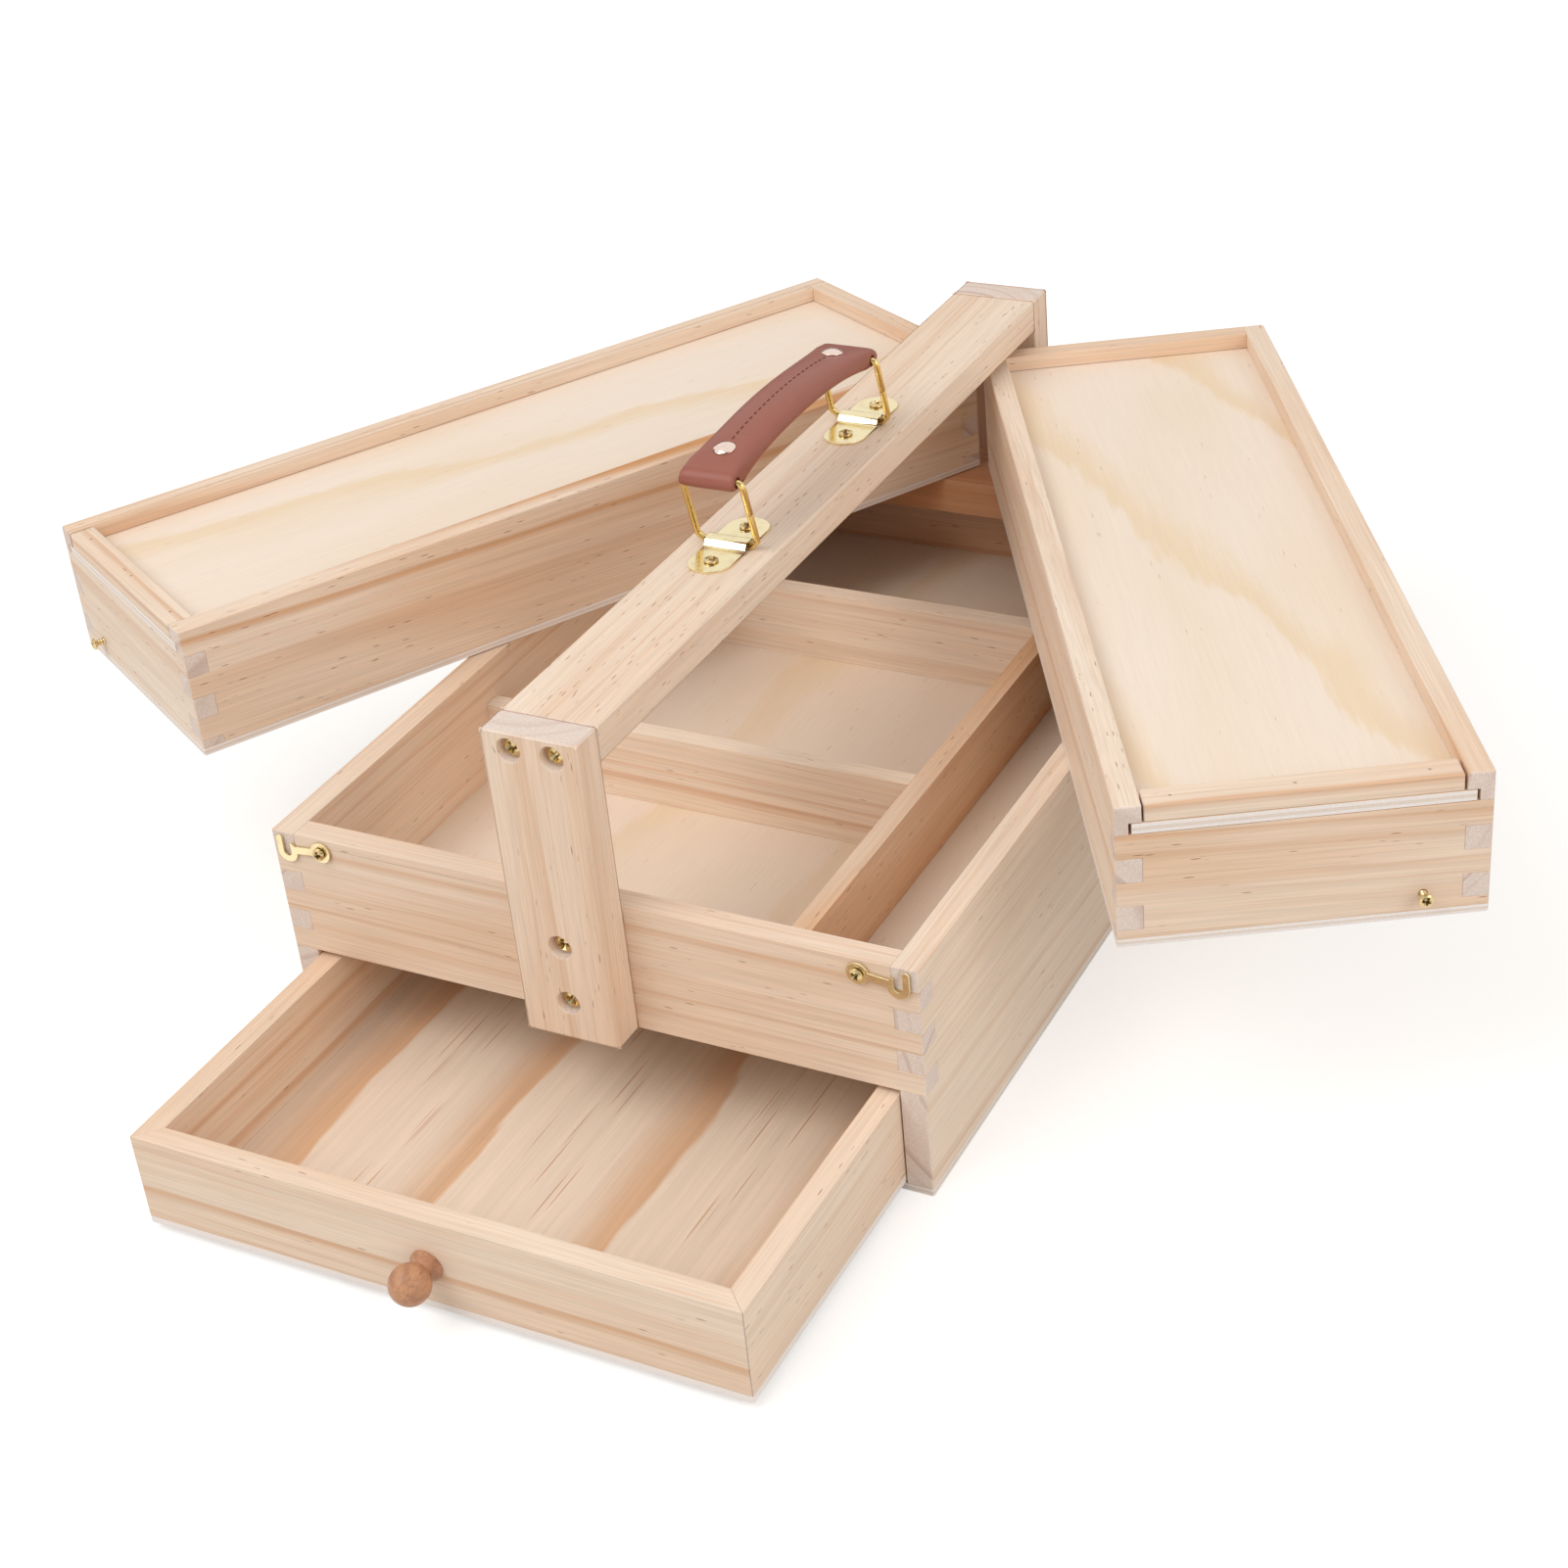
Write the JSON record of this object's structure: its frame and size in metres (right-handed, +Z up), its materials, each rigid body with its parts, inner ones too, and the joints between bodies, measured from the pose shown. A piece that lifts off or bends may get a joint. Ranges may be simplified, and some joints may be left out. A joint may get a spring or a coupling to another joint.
{
  "type": "artist tool box",
  "caption": "Wooden art tool box with finger joints, divided tray, drawer with turned knob, swing-out boxes with sliding lids, brass hooks and a leather handle on a rail.",
  "frame": {"origin": "centre of the base's underside, on the surface it stands on", "axes": "+Z up, +Y to the rear where the boxes pivot, -Y to the front where the drawer opens, +X to the right seen from the front"},
  "size_m": [0.5894, 0.5556, 0.2109],
  "materials": {
    "pine": "sanded, unpainted",
    "plywood": "sanded, unpainted",
    "dark_wood": "turned and oiled",
    "brass": "bright plated",
    "steel": "bright",
    "leather": "smooth, semi-matt"
  },
  "bodies": {
    "base": {"base_front_wall": "pine", "base_rear_wall": "pine", "base_left_wall": "pine", "base_right_wall": "pine", "base_bottom_panel": "plywood", "tray_floor": "plywood", "long_divider": "pine", "front_cross_divider": "pine", "rear_cross_divider": "pine", "pivot_cleat": "pine", "pivot_bolts": "steel", "pivot_washers": "steel", "pivot_nuts": "steel", "top_rail": "pine", "front_post": "pine", "rear_post": "pine", "front_post_screws": "brass", "rear_post_screws": "brass", "front_handle_plate": "brass", "rear_handle_plate": "brass", "handle_plate_screws": "brass", "hook_screws": "brass"},
    "drawer": {"drawer_front_board": "pine", "drawer_back_board": "pine", "drawer_left_board": "pine", "drawer_right_board": "pine", "drawer_bottom_panel": "plywood", "drawer_knob": "dark_wood", "knob_screw": "steel"},
    "left_box": {"left_box_inner_wall": "pine", "left_box_outer_wall": "pine", "left_box_front_wall": "pine", "left_box_rear_wall": "pine", "left_box_bottom_panel": "plywood", "left_catch_screw": "brass"},
    "left_lid": {"left_lid_panel": "plywood", "left_lid_batten": "pine", "left_lid_nails": "steel"},
    "right_box": {"right_box_inner_wall": "pine", "right_box_outer_wall": "pine", "right_box_front_wall": "pine", "right_box_rear_wall": "pine", "right_box_bottom_panel": "plywood", "right_catch_screw": "brass"},
    "right_lid": {"right_lid_panel": "plywood", "right_lid_batten": "pine", "right_lid_nails": "steel"},
    "left_hook": {"left_hook": "brass"},
    "right_hook": {"right_hook": "brass"},
    "front_ring": {"front_ring": "brass"},
    "rear_ring": {"rear_ring": "brass"},
    "grip": {"leather_grip": "leather", "grip_rivets": "steel"}
  },
  "joints": [
    {"name": "left_box_swing", "type": "hinge", "parent": "base", "child": "left_box", "pos_m": [-0.0365, 0.167, 0.1], "axis": [0, 0, -1], "range_deg": [-29.7, 47.3]},
    {"name": "right_box_swing", "type": "hinge", "parent": "base", "child": "right_box", "pos_m": [0.0365, 0.167, 0.1], "axis": [0, 0, 1], "range_deg": [-29.7, 47.3]},
    {"name": "left_lid_slide", "type": "slide", "parent": "left_box", "child": "left_lid", "axis": [-0.4955, -0.8686, 0], "range_m": [0, 0.3]},
    {"name": "right_lid_slide", "type": "slide", "parent": "right_box", "child": "right_lid", "axis": [0.4955, -0.8686, 0], "range_m": [0, 0.3]},
    {"name": "drawer_slide", "type": "slide", "parent": "base", "child": "drawer", "axis": [0, -1, 0], "range_m": [-0.1156, 0.159]},
    {"name": "left_hook_turn", "type": "hinge", "parent": "base", "child": "left_hook", "pos_m": [-0.1095, -0.1909, 0.091], "axis": [0, -1, 0], "range_deg": [-98.53, 90]},
    {"name": "right_hook_turn", "type": "hinge", "parent": "base", "child": "right_hook", "pos_m": [0.1095, -0.1909, 0.091], "axis": [0, 1, 0], "range_deg": [-98.53, 90]},
    {"name": "front_ring_tilt", "type": "hinge", "parent": "base", "child": "front_ring", "pos_m": [0, -0.059, 0.1703], "axis": [-1, 0, 0], "range_deg": [-65, 95]},
    {"name": "rear_ring_tilt", "type": "hinge", "parent": "base", "child": "rear_ring", "pos_m": [0, 0.055, 0.1703], "axis": [-1, 0, 0], "range_deg": [-65, 95]},
    {"name": "grip_turn", "type": "hinge", "parent": "front_ring", "child": "grip", "pos_m": [0, -0.06702, 0.20024], "axis": [-1, 0, 0], "range_deg": [-95, 65]}
  ],
  "couplings": [
    {"joint": "rear_ring_tilt", "follows": "front_ring_tilt", "ratio": 1},
    {"joint": "grip_turn", "follows": "front_ring_tilt", "ratio": -1}
  ]
}
